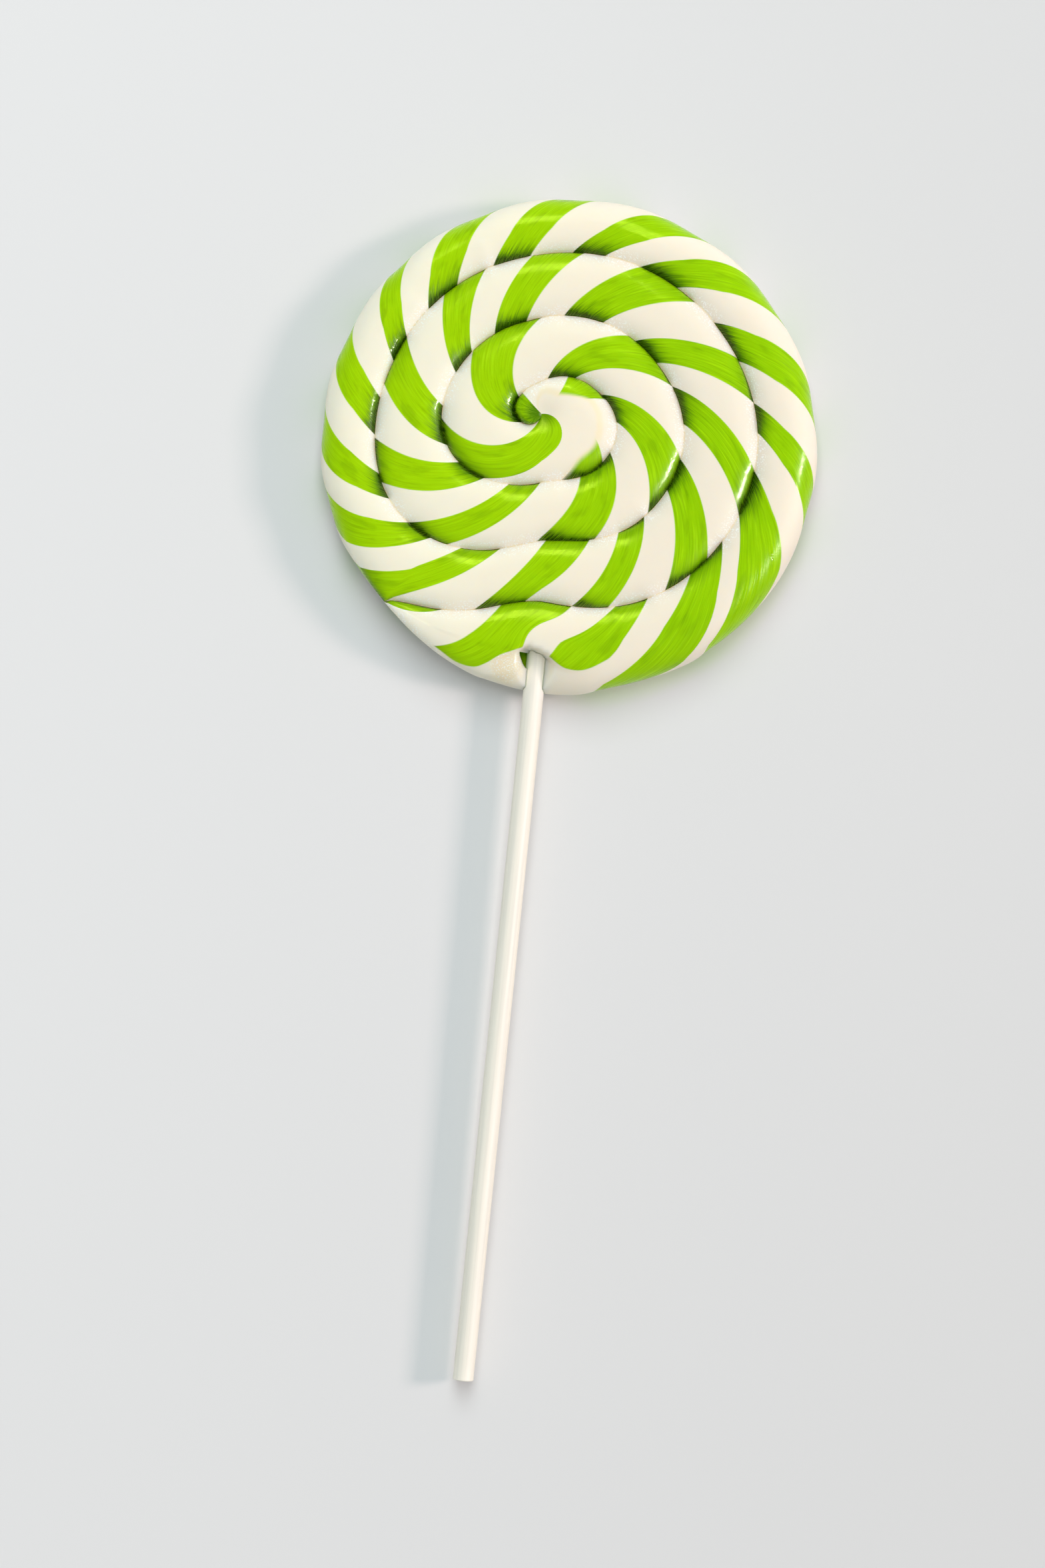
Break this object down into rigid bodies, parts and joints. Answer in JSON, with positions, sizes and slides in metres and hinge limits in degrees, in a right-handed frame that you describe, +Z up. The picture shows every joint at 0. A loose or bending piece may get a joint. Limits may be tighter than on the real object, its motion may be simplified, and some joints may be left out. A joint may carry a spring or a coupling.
{
  "type": "swirl lollipop",
  "caption": "Flat round swirl lollipop of a coiled twisted rope of green and white candy on a long white stick, lying down.",
  "frame": {"origin": "bottom centre of the box round the whole lollipop as it lies", "axes": "+Z up out of the shown face, +Y from the stick's free end towards the disc, +X across the disc"},
  "size_m": [0.0954, 0.2287, 0.0114],
  "materials": {
    "candy": "glossy hard candy, striped bright green and ivory white along the twisted rope",
    "stick": "smooth rolled white paper, slightly satin"
  },
  "bodies": {
    "root": {"candy": "candy", "stick": "stick"}
  },
  "joints": []
}
